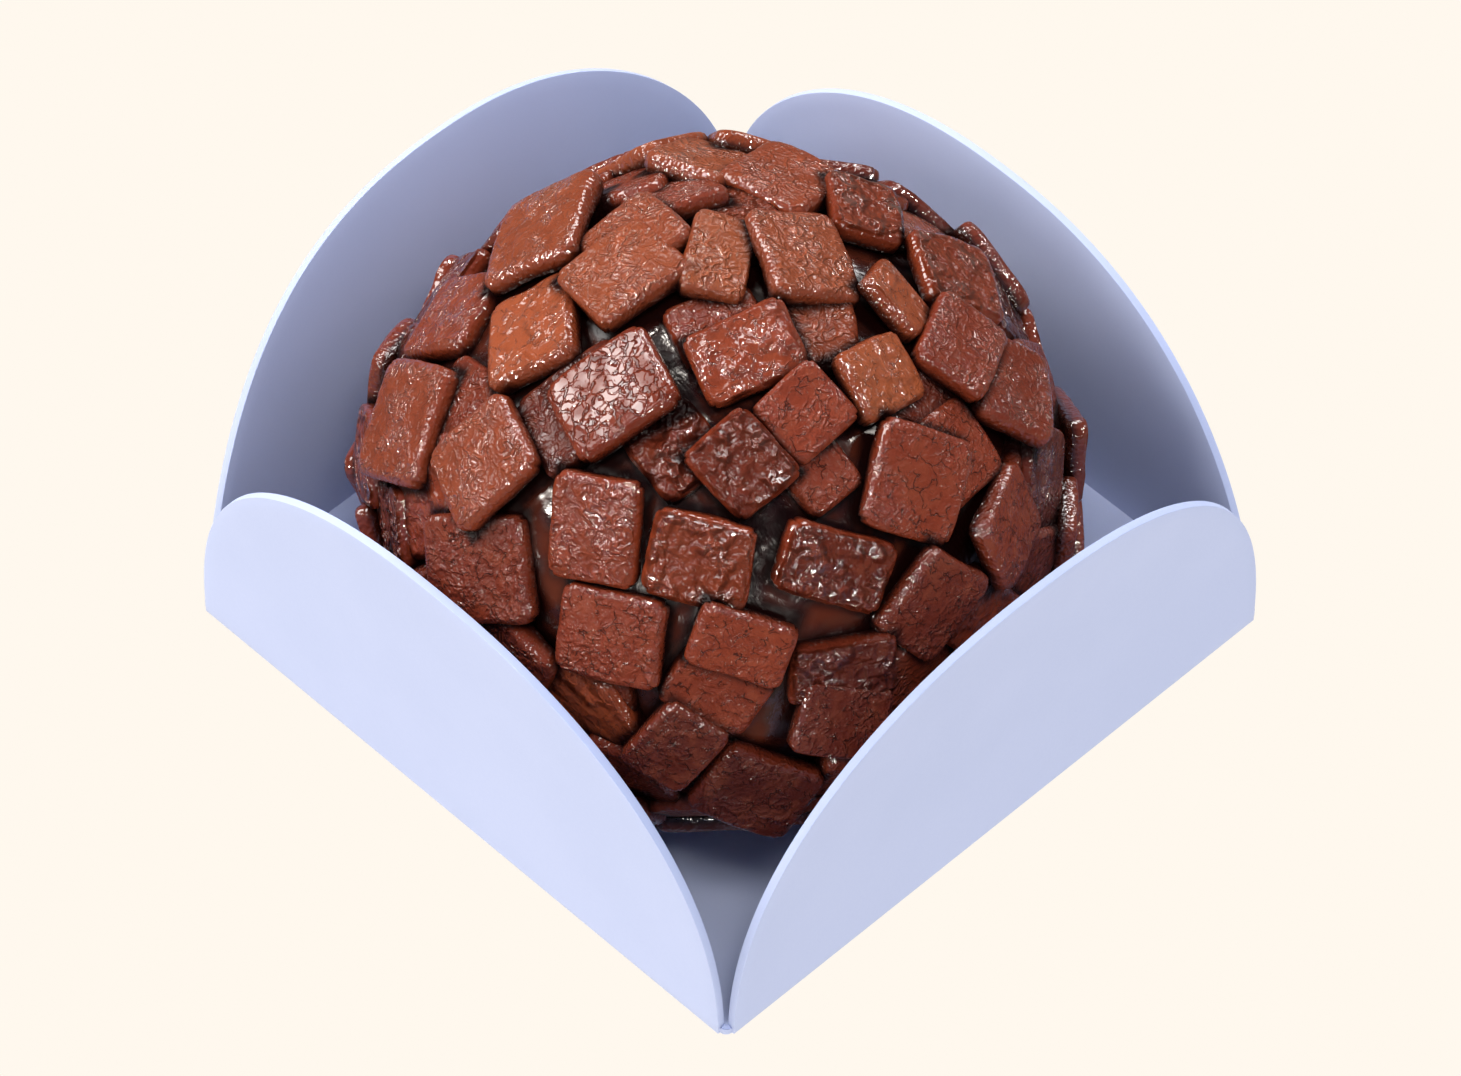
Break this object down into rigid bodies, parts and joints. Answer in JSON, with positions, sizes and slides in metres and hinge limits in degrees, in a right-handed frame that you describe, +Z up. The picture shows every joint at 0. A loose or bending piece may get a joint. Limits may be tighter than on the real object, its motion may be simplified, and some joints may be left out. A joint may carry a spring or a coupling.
{
  "type": "brigadeiro",
  "caption": "Soft chocolate fudge ball coated all over in square chocolate flakes, sitting in a folded card case with a square base and round petals turned up.",
  "frame": {"origin": "centre of the underside of the case's square base", "axes": "+Z up; the sides of the square base lie along X and Y; the ball has settled towards the corner at +X, -Y, which faces the viewer"},
  "size_m": [0.0387, 0.0362, 0.0275],
  "materials": {
    "card": "smooth matte pale blue-lilac card with white cut edges",
    "chocolate": "brown milk-chocolate flakes, wrinkled and half glossy, over dark sticky fudge"
  },
  "bodies": {
    "root": {"card_case": "card", "flaked_ball": "chocolate"}
  },
  "joints": []
}
